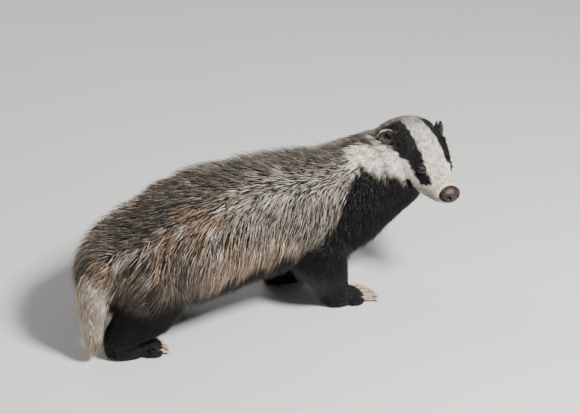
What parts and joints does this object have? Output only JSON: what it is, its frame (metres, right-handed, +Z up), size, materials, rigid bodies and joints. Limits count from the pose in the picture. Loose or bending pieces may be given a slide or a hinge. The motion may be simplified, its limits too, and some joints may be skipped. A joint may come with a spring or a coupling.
{
  "type": "european badger",
  "caption": "Life-size standing badger with a striped head turned to its right, shaggy grizzled coat, short hanging tail and long digging claws.",
  "frame": {"origin": "centre of the bounding box on the floor, under the trunk", "axes": "+X the way the trunk faces, +Y the animal's left, +Z up; the head is turned towards -Y"},
  "size_m": [0.6226, 0.249, 0.2593],
  "materials": {
    "grizzled_fur": "coarse banded guard hair, grey from black and cream bands",
    "face_fur": "short cream-white hair with two black stripes",
    "black_fur": "black hair with a low sheen",
    "tail_fur": "long cream hair, brown at the tip",
    "ear_fur": "short black hair with a white rim",
    "eye": "wet, dark brown",
    "nose_skin": "moist, finely pebbled dark brown skin",
    "claw": "smooth horn"
  },
  "bodies": {
    "root": {"head": "face_fur", "neck": "grizzled_fur", "torso": "grizzled_fur", "tail": "tail_fur", "nose": "nose_skin", "ear_left": "ear_fur", "ear_right": "ear_fur", "eye_left": "eye", "eye_right": "eye", "front_leg_left": "black_fur", "front_leg_right": "black_fur", "front_paw_left": "black_fur", "front_paw_right": "black_fur", "hind_leg_left": "black_fur", "hind_leg_right": "black_fur", "hind_paw_left": "black_fur", "hind_paw_right": "black_fur", "front_claw_left_1": "claw", "front_claw_left_2": "claw", "front_claw_left_3": "claw", "front_claw_left_4": "claw", "front_claw_left_5": "claw", "front_claw_right_1": "claw", "front_claw_right_2": "claw", "front_claw_right_3": "claw", "front_claw_right_4": "claw", "front_claw_right_5": "claw", "hind_claw_left_1": "claw", "hind_claw_left_2": "claw", "hind_claw_left_3": "claw", "hind_claw_left_4": "claw", "hind_claw_left_5": "claw", "hind_claw_right_1": "claw", "hind_claw_right_2": "claw", "hind_claw_right_3": "claw", "hind_claw_right_4": "claw", "hind_claw_right_5": "claw"}
  },
  "joints": []
}
